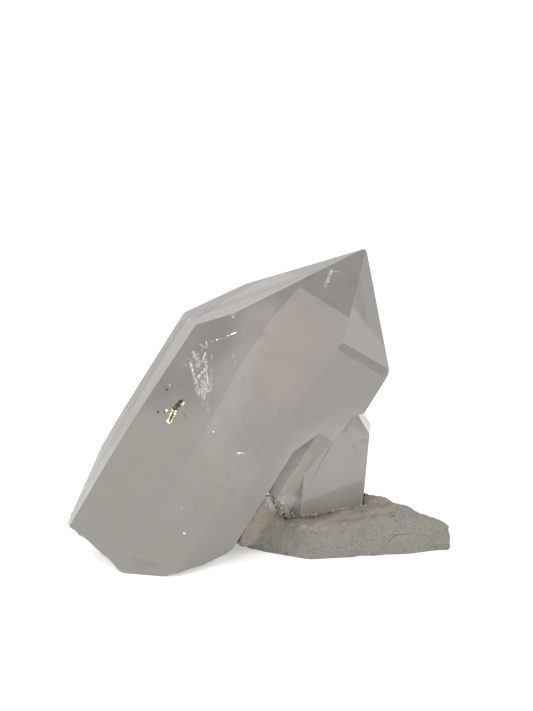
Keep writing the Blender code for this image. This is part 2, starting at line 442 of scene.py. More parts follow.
@dataclass
class QuartzMarks:
    """Where the quartz has its patches and lines.

    Attributes:
        blushes: Centres of the pink patches.
        stains: Tan stains, and painted shadow under the companion's overhang.
        hazes_and_painted_light: Broad milky bands, which also lay painted light over the companion's faces
            where they lie in shade beside the main point.
        veils_and_glints: White feathery lines and clouds, and painted highlights: the bright seam and the
            small glints near it.
        frosts_and_painted_light: Pale crushed quartz beside the joint, and painted light: the same pale tone
            laid over the companion's crevice to lighten the shade there.
        cracks: Thin dark lines and smudges.
        solid: Centres of the milky side crystal and companion.
    """

    blushes: list[Vector]
    stains: list[Mark]
    hazes_and_painted_light: list[Mark]
    veils_and_glints: list[Mark]
    frosts_and_painted_light: list[Mark]
    cracks: list[Mark]
    solid: list[Vector]


@dataclass(frozen=True)
class QuartzFinish:
    """Clear quartz that turns milky towards its foot, in grey-brown tones whose grey is painted shade for dim
    light.

    Attributes:
        clear: Tone of the clear quartz, for light that passes in and out.
        milk: Tone of the milky quartz.
        stain: Tone of tan stains, and of the painted shadow under the companion's overhang.
        blush: Tone of the faint pink patches.
        veil: Tone of the white veil, seams and fractures near the surface, and of the painted highlights
            along the bright seam and the small glints.
        frost_and_painted_light: Tone of the pale crushed quartz beside the joint, which also serves as
            painted light over the companion's crevice.
        crack: Tone of the dark lines and smudges.
        absorbed: Colour that the depth of the crystal keeps.
        density: How strongly depth absorbs.
        milk_start: Where the milkiness starts, measured down from the tip.
        milk_full: Where it is complete.
        clear_passes: Share of the light that the clear quartz lets through.
        milk_passes: Share that the milky quartz lets through.
        side_passes: Share that the side crystal and the companion let through.
        foot_passes: Share that the broken foot lets through.
        line_passes: Share that veils and dark lines let through.
        foot_rough: How much rougher the broken foot is than the facets.
        haze_and_painted_light: Tone of the broad milky bands, kept lighter as painted light for the shaded
            faces of the companion.
        haze_passes: Share that they let through.
        facet_share: How milky the pale facet beside the tip is.
    """

    # The grey of the clear and milky tones is painted shade standing in for dim light on quartz that is near
    # white.
    clear: Triple = (0.312, 0.290, 0.270)
    milk: Triple = (0.260, 0.251, 0.229)
    stain: Triple = (0.235, 0.195, 0.150)
    blush: Triple = (0.375, 0.300, 0.292)
    veil: Triple = (0.50, 0.475, 0.46)
    frost_and_painted_light: Triple = (0.45, 0.425, 0.40)
    crack: Triple = (0.130, 0.112, 0.085)
    absorbed: Triple = (0.62, 0.55, 0.46)
    density: float = 1.5
    milk_start: float = 50 * MM
    milk_full: float = 92 * MM
    clear_passes: float = 0.50
    milk_passes: float = 0.20
    side_passes: float = 0.08
    foot_passes: float = 0.12
    line_passes: float = 0.05
    foot_rough: float = 0.30
    haze_and_painted_light: Triple = (0.322, 0.302, 0.282)
    haze_passes: float = 0.14
    facet_share: float = 0.42

    def make(self, tip: Vector, axis: Vector, marks: QuartzMarks) -> Material:
        """Build the material.

        Args:
            tip: Tip of the main point.
            axis: Direction of its axis, upwards.
            marks: Where its patches and lines are.

        Returns:
            The material.
        """
        shader = Shader("clear_to_milky_quartz")
        below = shader.sum("ADD", shader.vector("DOT_PRODUCT", shader.place, -axis), tip.dot(axis))
        wisps = shader.clouds(16 * MM, 2.0)
        wander = shader.span(wisps, 0.2, 0.8, -12 * MM, 12 * MM)
        milky = shader.span(shader.sum("ADD", below, wander), self.milk_start, self.milk_full)

        mottle = shader.span(shader.clouds(5 * MM, 6.0, 1.2), 0.45, 0.75, 0.0, 0.10)
        colour = shader.blend(milky, self.clear, self.milk)
        colour = shader.blend(mottle, colour, self.stain)
        blush_reach = (8 * MM, 12 * MM, 9 * MM)
        colour = shader.patched(colour, self.blush, marks.blushes, blush_reach, 0.5, 6 * MM, 0.55)
        # Milky bands that let less light through; their lighter tone is also painted light on the companion's
        # shaded faces.
        haze_and_painted_light = shader.lines(marks.hazes_and_painted_light, 9 * MM, 0.4, 0.0)
        facet = shader.sum("MULTIPLY", shader.attribute("pale_facet"), self.facet_share)
        haze_and_painted_light = shader.sum("MAXIMUM", haze_and_painted_light, facet)
        colour = shader.blend(haze_and_painted_light, colour, self.haze_and_painted_light)
        # Tan stains, and painted shadow in tan under the companion's overhang.
        colour = shader.blend(shader.lines(marks.stains, 3 * MM, 0.7, 0.1), colour, self.stain)
        # Pale crushed quartz by the joint, and painted light that lightens the shaded crevice beside the
        # companion.
        frost_and_painted_light = shader.lines(marks.frosts_and_painted_light, 3 * MM, 0.5, 0.1)
        colour = shader.blend(frost_and_painted_light, colour, self.frost_and_painted_light)
        dark = shader.lines(marks.cracks)
        colour = shader.blend(dark, colour, self.crack)
        # White feathery veil, with painted highlights for the bright seam and the small glints.
        feathery = shader.lines(marks.veils_and_glints, 0.7 * MM, 1.0, 0.2)
        grain = shader.clouds(0.40 * MM, 4.0, 0.3, shader.mapped((0, -12, 0), (1.0, 1.0, 0.20)))
        veil = shader.sum("MULTIPLY", feathery, shader.span(grain, 0.34, 0.64, 0.12, 1.0))
        colour = shader.blend(veil, colour, self.veil)

        broken = shader.attribute("fracture")
        passes = shader.span(milky, 0.0, 1.0, self.clear_passes, self.milk_passes)
        for centre in marks.solid:
            share = shader.patch(centre, (19 * MM, 30 * MM, 23 * MM))
            passes = shader.toward(passes, self.side_passes, share)
        passes = shader.toward(passes, self.haze_passes, shader.sum("MAXIMUM", haze_and_painted_light, frost_and_painted_light))
        passes = shader.toward(passes, self.foot_passes, broken)
        passes = shader.toward(passes, self.line_passes, shader.sum("MAXIMUM", veil, dark))
        smudges = shader.span(shader.clouds(9 * MM, 5.0, 0.5), 0.4, 0.75, 0.02, 0.07)
        rough = shader.sum("ADD", smudges, shader.sum("MULTIPLY", broken, self.foot_rough))
        shader.principled(
            Base_Color=colour,
            Roughness=rough,
            Transmission_Weight=passes,
            IOR=QUARTZ_IOR,
        )
        inside = shader.nodes.new("ShaderNodeVolumeAbsorption")
        inside.inputs["Color"].default_value = (*self.absorbed, 1.0)
        inside.inputs["Density"].default_value = self.density
        output = shader.nodes["Material Output"]
        shader.put(output.inputs["Volume"], inside.outputs["Volume"])
        return shader.material


@dataclass(frozen=True)
class RockFinish:
    """Grey-beige matrix with olive and brown stains, pits and hairline cracks; the brown stains are painted
    lighter as painted light where the crystals shade the slab's top.

    Attributes:
        pale: Fresh, pale stone.
        dark: Duller stone.
        olive: Greenish stain.
        rust_and_painted_light: Brown stain under the side crystal, painted lighter as painted light against
            the crystals' shade.
        tan: Smooth brownish rock of the heel.
        speck: Dark mineral grains.
        crust: White quartz crust.
    """

    pale: Triple = (0.226, 0.214, 0.190)
    dark: Triple = (0.198, 0.186, 0.158)
    olive: Triple = (0.190, 0.182, 0.140)
    rust_and_painted_light: Triple = (0.300, 0.264, 0.214)
    tan: Triple = (0.272, 0.240, 0.198)
    speck: Triple = (0.045, 0.038, 0.03)
    crust: Triple = (0.40, 0.39, 0.37)

    def make(
        self, rust_and_light_centres: list[Vector], tans: list[Vector], pales: list[Vector], crusts: list[Mark],
        cracks: list[Mark],
    ) -> Material:
        """Build the material.

        Args:
            rust_and_light_centres: Centres of the brown stains, which are also painted light on the shaded
                top.
            tans: Centres of the smooth tan areas.
            pales: Centres of the freshly broken, paler areas.
            crusts: White quartz crust.
            cracks: Dark cracks.

        Returns:
            The material.
        """
        shader = Shader("stained_matrix_rock")
        blotch = shader.clouds(7 * MM, 6.0, 1.0)
        colour = shader.blend(shader.span(blotch, 0.35, 0.65), self.dark, self.pale)
        colour = shader.patched(colour, self.pale, pales, (13 * MM, 9 * MM, 5 * MM), 0.35, 5 * MM, 0.7)
        green = shader.span(shader.clouds(9 * MM, 5.0, 1.5), 0.5, 0.66)
        colour = shader.blend(shader.sum("MULTIPLY", green, 0.55), colour, self.olive)
        colour = shader.patched(colour, self.tan, tans, (6 * MM, 6 * MM, 7 * MM), 0.3, 5 * MM, 0.85)
        # Brown stains, lighter than the stain alone as painted light against the shade that the crystals cast
        # on the slab's top.
        colour = shader.patched(colour, self.rust_and_painted_light, rust_and_light_centres, (9 * MM, 6 * MM, 3 * MM), 0.8, 2 * MM, 0.75)
        bent = shader.clouds(16 * MM, 6.0, 0.6, shader.mapped((20, 0, 35), (1.0, 1.0, 1.8)))
        off_line = shader.sum("ABSOLUTE", shader.sum("SUBTRACT", bent, 0.5), 0.0)
        crack = shader.span(off_line, 0.0, 0.004, 1.0, 0.0)
        broken_up = shader.span(shader.clouds(6 * MM, 2.0), 0.5, 0.62, 0.0, 0.7)
        colour = shader.blend(shader.sum("MULTIPLY", crack, broken_up), colour, self.speck)
        colour = shader.blend(shader.lines(crusts), colour, self.crust)
        colour = shader.blend(shader.lines(cracks), colour, self.speck)
        specks = shader.span(shader.cells(1.3 * MM), 0.10, 0.16, 1.0, 0.0)
        sand = shader.span(shader.clouds(0.5 * MM, 4.0), 0.46, 0.66, 0.0, 0.28)
        colour = shader.blend(sand, colour, self.speck)
        sparse = shader.span(shader.clouds(4 * MM, 2.0), 0.50, 0.58)
        colour = shader.blend(shader.sum("MULTIPLY", specks, sparse), colour, self.speck)
        grain = shader.relief(shader.clouds(0.8 * MM, 8.0), 0.25 * MM, 0.8)
        skin = shader.relief(shader.cells(2.1 * MM), 0.2 * MM, 0.4, grain)
        shader.principled(
            Base_Color=colour,
            Roughness=shader.span(blotch, 0.3, 0.7, 0.72, 0.92),
            Normal=skin,
        )
        return shader.material


@dataclass(frozen=True)
class GlintFinish:
    """A glint, flake, speck or crumb: mirror-like as an air gap is, or dull as stone.

    Attributes:
        name: The material's name.
        tone: Its colour.
        patch_tone: Colour of its patches.
        metal: How metallic it is.
        rough: Its roughness.
    """

    name: str
    tone: Triple
    patch_tone: Triple
    metal: float = 1.0
    rough: float = 0.3

    def make(self) -> Material:
        """Build the material.

        Returns:
            The material.
        """
        shader = Shader(self.name)
        patches = shader.span(shader.clouds(0.9 * MM, 3.0), 0.4, 0.6)
        shader.principled(
            Base_Color=shader.blend(patches, self.tone, self.patch_tone),
            Metallic=self.metal,
            Roughness=shader.span(shader.clouds(0.6 * MM, 2.0), 0.3, 0.7, 0.6 * self.rough, 1.4 * self.rough),
            Normal=shader.relief(shader.clouds(0.3 * MM, 3.0), 0.05 * MM, 0.5),
        )
        return shader.material


@dataclass(frozen=True)
class FloorFinish:
    """Plain pale paper on a light table.

    Attributes:
        tone: Its colour.
        glow: How much light comes through it.
    """

    tone: Triple = (0.68, 0.68, 0.675)
    glow: float = 0.42

    def make(self) -> Material:
        """Build the material.

        Returns:
            The material.
        """
        shader = Shader("pale_floor")
        shader.principled(
            Base_Color=self.tone,
            Roughness=0.9,
            Specular_IOR_Level=0.1,
            Emission_Color=(1.0, 1.0, 1.0),
            Emission_Strength=self.glow,
        )
        return shader.material


def solid_copy(node: str, merge: float = 0.002 * MM) -> Mesh:
    """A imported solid's mesh, copied and with its loose triangles merged.

    Args:
        node: The solid's node.
        merge: How close corners are merged.

    Returns:
        The copy.
    """
    mesh = bmesh.new()
    mesh.from_mesh(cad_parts[node].data)
    bmesh.ops.remove_doubles(mesh, verts=mesh.verts[:], dist=merge)
    return mesh


def mesh_object(mesh: Mesh, name: str, material: Material) -> Piece:
    """Turn a finished mesh into an object.

    Args:
        mesh: The mesh, which is used up.
        name: The object's name.
        material: Its finish.

    Returns:
        The object.
    """
    data = bpy.data.meshes.new(name)
    mesh.to_mesh(data)
    mesh.free()
    data.materials.append(material)
    return add_object(name, data)


def put_in_scene(mesh: Mesh, name: str, material: Material) -> Piece:
    """Make a finished mesh one of the cluster's pieces.

    Args:
        mesh: The mesh, which is used up.
        name: The piece's name.
        material: Its finish.

    Returns:
        The piece.
    """
    piece = mesh_object(mesh, name, material)
    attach(piece, "root")
    LOG.info("%s: %d faces", name, len(piece.data.polygons))
    return piece


def slices(low: float, high: float, step: float) -> list[float]:
    """Evenly spaced values between two ends, without the ends."""
    count = max(1, round((high - low) / step))
    return [low + (high - low) * index / count for index in range(1, count)]


def waviness(place: Vector, waves: Waves) -> float:
    """Height of several sizes of noise together, each with its height and width."""
    return sum(height * noise.noise(place / width) for height, width in waves)


def push_out(mesh: Mesh, pushes: list[float]) -> None:
    """Move each corner along its normal by its push, but not below the table."""
    for vertex, push in zip(mesh.verts, pushes):
        vertex.co += vertex.normal * push
        vertex.co.z = max(vertex.co.z, 0.0)


def cut_fine(
    mesh: Mesh, step: float, kind: Surface | None, layer: Layer, touch: float = 0.02 * MM
) -> None:
    """Cut faces into cells with planes across X, Y and Z.

    Args:
        mesh: The mesh.
        step: Distance between the planes.
        kind: Cut only this kind of face, or all.
        layer: Layer that holds each face's kind.
        touch: A corner this close to a plane lies on it.
    """
    low = [min(vertex.co[axis] for vertex in mesh.verts) for axis in range(3)]
    high = [max(vertex.co[axis] for vertex in mesh.verts) for axis in range(3)]
    for axis in range(3):
        normal = Vector([float(axis == other) for other in range(3)])
        for level in slices(low[axis], high[axis], step):
            faces = [face for face in mesh.faces if kind is None or face[layer] == kind.value]
            edges = {edge for face in faces for edge in face.edges}
            verts = {vertex for face in faces for vertex in face.verts}
            bmesh.ops.bisect_plane(
                mesh, geom=[*verts, *edges, *faces], dist=touch, plane_co=normal * level, plane_no=normal
            )


@dataclass
class QuartzSkin:
    """The surface of the three joined crystals.

    Attributes:
        pale_facing: Direction that the pale facet beside the tip faces.
        flat: Faces that turn less than this, in degrees, are one facet.
        facet_area: A facet is larger than this, and what is smaller is the broken foot.
        wear: Width of the worn edges between facets.
        shortest: Edges shorter than this stay sharp.
        stop: How far from the broken foot the wear stops.
        cell: Distance between the cuts that let facets be uneven.
        foot_cell: The same on the broken foot.
        waves: Height and width of each kind of unevenness on the facets.
        chips: The same on the foot.
        chip_level: Noise below this is pushed out, and noise above it in.
        rounds: How often the foot is smoothed first.
        crease: Facets that turn more than this, in degrees, meet in a crisp edge.
        foot_crease: The same on the foot.
        pale_match: How closely a face's direction matches the pale facet's.
    """

    pale_facing: Vector
    flat: float = 0.8
    facet_area: float = 14 * MM * MM
    wear: float = 0.14 * MM
    shortest: float = 12 * wear
    stop: float = 6 * wear
    cell: float = 1.9 * MM
    foot_cell: float = 0.9 * MM
    waves: Waves = ((0.030 * MM, 9 * MM), (0.008 * MM, 3.5 * MM))
    chips: Waves = ((0.35 * MM, 5 * MM), (0.16 * MM, 2.0 * MM))
    chip_level: float = 0.4
    rounds: int = 3
    crease: float = 9.0
    foot_crease: float = 32.0
    pale_match: float = 0.995

    def build(self, material: Material) -> Piece:
        """Build and dress the skin.

        Args:
            material: The quartz finish.

        Returns:
            The piece that stands for the crystals.
        """
        mesh = solid_copy(CRYSTALS)
        kinds = self.sort_faces(mesh)
        self.wear_edges(mesh, kinds)
        cut_fine(mesh, self.cell, None, kinds)
        cut_fine(mesh, self.foot_cell, Surface.FRACTURE, kinds)
        self.uneven(mesh, kinds)
        bmesh.ops.triangulate(mesh, faces=mesh.faces[:])
        self.shade(mesh, kinds)
        piece = put_in_scene(mesh, "quartz_crystals", material)
        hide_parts(CRYSTALS)
        return piece

    def sort_faces(self, mesh: Mesh) -> Layer:
        """Join coplanar faces and note which are facets.

        Args:
            mesh: The crystals.

        Returns:
            The layer that holds each face's kind.
        """
        bmesh.ops.dissolve_limit(
            mesh, angle_limit=math.radians(self.flat), verts=mesh.verts[:], edges=mesh.edges[:]
        )
        kinds = mesh.faces.layers.int.new("kind")
        for face in mesh.faces:
            small = face.calc_area() < self.facet_area
            face[kinds] = (Surface.FRACTURE if small else Surface.FACET).value
        return kinds

    def wear_edges(self, mesh: Mesh, kinds: Layer) -> None:
        """Blunt the edges between facets, stopping short of the broken foot.

        Args:
            mesh: The crystals.
            kinds: Each face's kind.
        """
        facet = Surface.FACET.value
        sharp = [
            edge
            for edge in mesh.edges
            if all(face[kinds] == facet for face in edge.link_faces)
            and edge.calc_face_angle(0.0) > math.radians(self.crease)
            and edge.calc_length() > self.shortest
        ]
        worn = []
        for edge in sharp:
            rough_ends = [
                vertex for vertex in edge.verts if any(face[kinds] != facet for face in vertex.link_faces)
            ]
            for vertex in rough_ends:
                bmesh.utils.edge_split(edge, vertex, self.stop / edge.calc_length())
            worn.append(edge)
        bmesh.ops.bevel(
            mesh, geom=worn, offset=self.wear, offset_type="OFFSET", affect="EDGES", segments=2,
            profile=0.5, material=-1, clamp_overlap=True,
        )

    def uneven(self, mesh: Mesh, kinds: Layer) -> None:
        """Push facets faintly and the broken foot strongly in and out.

        Args:
            mesh: The crystals.
            kinds: Each face's kind.
        """
        broken = [
            vertex
            for vertex in mesh.verts
            if all(face[kinds] == Surface.FRACTURE.value for face in vertex.link_faces)
        ]
        for _ in range(self.rounds):
            bmesh.ops.smooth_vert(
                mesh, verts=broken, factor=0.5, use_axis_x=True, use_axis_y=True, use_axis_z=True
            )
        mesh.normal_update()
        rough = set(broken)
        pushes = []
        for vertex in mesh.verts:
            push = waviness(vertex.co, self.waves)
            if vertex in rough:
                for height, width in self.chips:
                    push += height * (self.chip_level - abs(noise.noise(vertex.co / width))) * 2.0
            pushes.append(push)
        push_out(mesh, pushes)

    def shade(self, mesh: Mesh, kinds: Layer) -> None:
        """Shade facets crisply and the foot softly, and store where it is broken or pale.

        Args:
            mesh: The crystals.
            kinds: Each face's kind.
        """
        broken = Surface.FRACTURE.value
        fracture = mesh.verts.layers.float.new("fracture")
        for vertex in mesh.verts:
            faces = vertex.link_faces
            vertex[fracture] = sum(face[kinds] == broken for face in faces) / max(1, len(faces))
        pale = mesh.faces.layers.float.new("pale_facet")
        for face in mesh.faces:
            face.smooth = True
            face[pale] = float(face.normal.dot(self.pale_facing) > self.pale_match)
        for edge in mesh.edges:
            soft = all(face[kinds] == broken for face in edge.link_faces)
            limit = self.foot_crease if soft else self.crease
            edge.smooth = edge.calc_face_angle(0.0) < math.radians(limit)


class Line(NamedTuple):
    """A line in the photograph: its ends, half its width in pixels, and its strength."""

    start: Pixel
    end: Pixel
    width: float
    share: float = 1.0


# Feathery veil lines; the bright seam near (211-236, 332-342) and the glints near (234, 358), (237-250, 454)
# and (337-344, 427-431) are painted highlights.
VEIL_AND_GLINT_LINES = (
    Line((190, 360), (193.8, 376), 2.2),
    Line((195, 378), (199.5, 394), 3.4, 0.75),
    Line((193.4, 351.5), (195.8, 357), 1.8),
    Line((196, 357.5), (198.5, 367), 4.2, 0.9),
    Line((206, 353.5), (202.8, 358.5), 1.8),
    Line((204.5, 361), (206, 367), 3.6, 0.9),
    Line((207, 367), (202.5, 373), 2.6),
    Line((203, 373), (198, 377), 2),
    Line((206.5, 373), (208, 389), 4.2, 0.85),
    Line((202, 380), (204, 396), 4.6, 0.75),
    Line((201.5, 393), (203, 403), 3, 0.5),
    Line((206.5, 396), (208.5, 411), 2.4, 0.32),
    Line((211, 366), (211, 386), 2.2, 0.3),
    Line((206.2, 342), (206.8, 347), 1.3, 0.9),
    Line((199.8, 344), (203.8, 347.5), 1.2, 0.8),
    Line((200.8, 351.5), (203.4, 348.6), 1, 0.9),
    Line((212, 352.5), (211.6, 359), 1.3, 0.5),
    Line((182.5, 365), (189, 364), 0.7, 0.5),
    Line((211.3, 341.9), (221.5, 339), 0.8, 0.35),
    Line((221.5, 339), (229, 335.6), 0.7, 0.4),
    Line((229, 335.6), (235.6, 332.5), 1.1),
    Line((233.3, 354), (234.9, 363.5), 1.8, 0.35),
    Line((282, 503), (297, 500), 6.5, 0.75),
    Line((280, 504), (286, 509), 3.2),
    Line((330, 269), (338, 272), 1.8, 0.5),
    Line((332, 271), (325, 287), 2.4, 0.55),
    Line((237, 453.5), (244, 453.5), 0.9, 0.9),
    Line((244, 453), (249.5, 454.5), 0.5, 0.6),
    Line((300.5, 497.5), (304, 493), 0.8, 0.5),
    Line((337.5, 431), (344, 426.5), 1.4, 0.5),
)

# Crushed quartz by the joint; the two lines up the companion's crevice are painted light against the shade
# there.
FROST_AND_LIGHT_LINES = (
    Line((272, 496), (283, 503), 9),
    Line((283, 500), (293, 502), 11, 0.9),
    Line((280, 486), (293, 460), 16, 0.75),
    Line((294, 490), (306, 456), 10, 0.35),
)

# Broad milky bands; the two lines over the companion's left faces are also painted light against the shade
# beside the main point.
HAZE_AND_LIGHT_LINES = (
    Line((241, 352), (208, 428), 28, 0.5),
    Line((214, 424), (244, 470), 40, 0.42),
    Line((364.5, 418), (368.5, 428), 12),
    Line((328, 492), (345, 448), 30, 0.6),
    Line((266, 316), (212, 418), 36, 0.5),
    Line((286, 486), (306, 452), 30),
    Line((306, 482), (334, 436), 24),
)

# Tan stains; the first line is painted shadow, the tan shade under the companion's overhang.
TAN_STAIN_AND_SHADOW_LINES = (
    Line((289, 461), (280, 487), 6.5, 0.5),
    Line((332, 304), (320, 303), 7, 0.35),
    Line((361, 420), (365, 438), 9, 0.5),
    Line((355, 446), (357, 452), 5, 0.3),
    Line((92, 500), (122, 514), 7, 0.14),
    Line((136, 563), (154, 566), 5, 0.35),
    Line((183, 322), (125, 418), 11),
    Line((125, 418), (76, 508), 11),
    Line((207, 311), (300, 278), 15, 0.9),
    Line((357, 284), (365, 322), 12, 0.35),
)

CRACK_LINES = (
    Line((332.3, 443.2), (343, 427.5), 0.4, 0.35),
    Line((322.5, 460), (332.3, 443.2), 0.6, 0.9),
    Line((314.2, 476.5), (322.5, 460), 0.5, 0.8),
    Line((302, 497), (314.2, 476.5), 0.4, 0.45),
    Line((345, 421), (355.5, 415), 0.7, 0.5),
    Line((355.5, 415), (362.5, 414.6), 0.7, 0.6),
    Line((285, 468), (291.5, 454.5), 0.8, 0.45),
    Line((343.5, 379.5), (348, 377), 0.7, 0.7),
    Line((348, 377), (353.5, 380), 0.5, 0.6),
    Line((180.5, 411), (184.6, 414), 0.6, 0.5),
    Line((184.6, 414), (187, 420), 0.8, 0.8),
    Line((176.7, 331.5), (172.8, 341), 0.7, 0.7),
    Line((170, 346), (167.5, 351.5), 0.9, 0.8),
    Line((163.5, 360), (154.7, 371.5), 0.6, 0.6),
    Line((197, 402), (198, 405), 0.6, 0.6),
    Line((219, 392), (229, 391), 1.6, 0.2),
    Line((224, 397.5), (229, 406), 0.8, 0.2),
    Line((183, 433), (211, 440), 1.6, 0.13),
    Line((213, 486), (228, 489), 1.4, 0.18),
    Line((236, 466), (243, 471), 1.2, 0.3),
    Line((139, 552), (175, 557), 1.4, 0.16),
    Line((132, 557), (156, 566), 2.2, 0.22),
    Line((335, 266), (351, 283), 1.2, 0.3),
    Line((309, 298), (331, 304.5), 0.9, 0.35),
    Line((361, 340), (372, 335.5), 0.8, 0.35),
    Line((255, 348), (266, 355), 0.9, 0.25),
    Line((294, 273), (309, 267.5), 1, 0.45),
    Line((240, 292), (268, 280.5), 0.8, 0.35),
    Line((357, 300), (366, 318), 1.4, 0.22),
)

ROCK_CRACK_LINES = (
    Line((394.9, 535), (385.2, 546), 0.7, 0.6),
    Line((385.2, 546), (379, 551.5), 0.5, 0.45),
    Line((394.9, 535), (407, 534), 0.6, 0.5),
    Line((407, 534), (429, 536), 0.6, 0.3),
    Line((346.5, 546), (364.3, 540.7), 0.4, 0.35),
    Line((364.3, 540.7), (388, 537), 0.4, 0.4),
    Line((420, 517.5), (441, 527), 0.5, 0.3),
    Line((300, 518), (330, 514), 0.8, 0.55),
    Line((330, 514), (362, 507), 0.8, 0.5),
    Line((337, 522), (343, 516), 0.7, 0.45),
    Line((311, 532), (316, 533.5), 1.1, 0.6),
    Line((286, 553), (287.5, 553.5), 0.9, 0.8),
)


class CrystalDepths:
    """Finds places on and inside the solids behind a pixel of the photograph."""

    def __init__(self, view: PhotoView) -> None:
        """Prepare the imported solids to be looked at.

        Args:
            view: The photograph's camera.
        """
        self.view = view
        self.trees = {}
        for node in (CRYSTALS, SLAB):
            mesh = solid_copy(node)
            self.trees[node] = BVHTree.FromBMesh(mesh)
            mesh.free()

    def spot(self, node: str, pixel: Pixel) -> Vector:
        """Point of a solid's surface that a pixel shows.

        Args:
            node: The solid's node.
            pixel: Column and row in the photograph.

        Returns:
            The point.
        """
        place, _, _, _ = self.trees[node].ray_cast(self.view.origin(), self.view.ray(pixel))
        if place is None:
            raise ValueError(f"pixel {pixel} does not see {node}")
        return place

    def facing(self, node: str, pixel: Pixel) -> Vector:
        """Direction that the surface at a pixel faces."""
        _, normal, _, _ = self.trees[node].ray_cast(self.view.origin(), self.view.ray(pixel))
        return normal

    def spots(self, node: str, *pixels: Pixel) -> list[Vector]:
        """Points of a solid's surface that several pixels show."""
        return [self.spot(node, pixel) for pixel in pixels]

    def marks(self, node: str, lines: tuple[Line, ...]) -> list[Mark]:
        """Lines on a solid's surface, drawn in the photograph.

        Args:
            node: The solid's node.
            lines: The lines in pixels.

        Returns:
            The lines in space.
        """
        found = []
        for line in lines:
            start = self.spot(node, line.start)
            end = self.spot(node, line.end)
            pixel = (start - self.view.origin()).length / self.view.focal
            found.append(Mark(start, end, line.width * pixel, line.share))
        return found

    def joint(self, node: str, pixel: Pixel, sunk: float = 0.3 * MM) -> Vector:
        """Place just behind a solid's surface that a pixel shows."""
        return self.spot(node, pixel) + self.view.ray(pixel) * sunk

    def inside(self, pixel: Pixel, depth: float) -> Vector | None:
        """Place at a depth along the refracted line of sight.

        Args:
            pixel: Column and row in the photograph.
            depth: How deep below the surface.

        Returns:
            The place, kept inside the crystals, or None where the pixel misses them.
        """
        sight = self.view.ray(pixel)
        tree = self.trees[CRYSTALS]
        place, normal, _, _ = tree.ray_cast(self.view.origin(), sight)
        if place is None:
            return None
        facing = -sight.dot(normal)
        ratio = 1.0 / QUARTZ_IOR
        root = math.sqrt(1.0 - ratio * ratio * (1.0 - facing * facing))
        inner = (sight * ratio + normal * (ratio * facing - root)).normalized()
        start = place + inner * 0.05 * MM
        _, _, _, room = tree.ray_cast(start, inner)
        return start + inner * min(depth, 0.7 * (room or depth))


@dataclass
class Swarm:
    """Many small closed pieces in one mesh.

    Attributes:
        name: The piece's name.
        shape: Form of each small piece.
        smallest: Size of the smallest.
        largest: Size of the largest.
        tilt: How far each one is turned at random, in degrees.
        sides: How many sides each has.
        seed: Start of its random numbers.
    """

    name: str
    shape: Shape
    smallest: float
    largest: float
    tilt: float = 20.0
    sides: int = 5
    seed: int = 1
    mesh: Mesh = field(init=False, repr=False)
    dice: random.Random = field(init=False, repr=False)

    def __post_init__(self) -> None:
        """Start the mesh and the random numbers."""
        self.mesh = bmesh.new()
        self.dice = random.Random(self.seed)

    def add(self, place: Vector | None, facing: Vector, along: Vector) -> None:
        """Add one small piece.

        Args:
            place: Its centre, or None to leave it out.
            facing: Direction that its broad side faces.
            along: Direction of its length.
        """
        size = self.dice.uniform(self.smallest, self.largest)
        spin = [math.radians(self.dice.gauss(0.0, self.tilt)) for _ in range(3)]
        taper = self.dice.uniform(0.25, 0.5)
        if place is None:
            return
        through = facing.normalized()
        across = along.cross(through).normalized()
        turn = Matrix((across, through.cross(across), through)).transposed().to_4x4()
        for angle, axis in zip(spin, "XYZ"):
            turn = turn @ Matrix.Rotation(angle, 4, axis)
        stretch = Matrix.Diagonal([share * size for share in self.shape.value] + [1.0])
        bmesh.ops.create_cone(
            self.mesh, cap_ends=True, cap_tris=False, segments=self.sides, radius1=0.5, radius2=taper,
            depth=1.0, matrix=Matrix.Translation(place) @ turn @ stretch,
        )

    def build(self, material: Material, slot: str) -> Piece:
        """Finish the swarm as a piece with its finish."""
        bmesh.ops.recalc_face_normals(self.mesh, faces=self.mesh.faces[:])
        return put_in_scene(self.mesh, self.name, material)


@dataclass(frozen=True)
class Stroke:
    """A ragged line of small pieces, drawn between two pixels.

    Attributes:
        start: First pixel.
        end: Last pixel.
        width: Width of the stroke in pixels.
        count: How many pieces it has.
        depth: How deep it lies.
        spread: How far its pieces scatter up and down.
    """

    start: Pixel
    end: Pixel
    width: float
    count: int
    depth: float = -0.06 * MM
    spread: float = 0.05 * MM

    def fill(self, swarm: Swarm, depths: CrystalDepths, facing: Vector) -> None:
        """Add the stroke's pieces to a swarm.

        Args:
            swarm: The swarm.
            depths: Finds places inside the crystals.
            facing: Direction that the pieces face.
        """
        view = depths.view
        along = view.ray(self.end) - view.ray(self.start)
        run = Vector(self.end) - Vector(self.start)
        side = Vector((-run.y, run.x)).normalized()
        for _ in range(self.count):
            share = swarm.dice.random()
            taper = math.sin(math.pi * min(1.0, 0.15 + 0.85 * share))
            drift = swarm.dice.gauss(0.0, 0.35) * self.width * (0.35 + 0.65 * taper)
            pixel = Vector(self.start) + run * share + side * drift
            depth = self.depth + swarm.dice.uniform(-1.0, 1.0) * self.spread
            swarm.add(depths.inside(tuple(pixel), depth), facing, along.normalized())


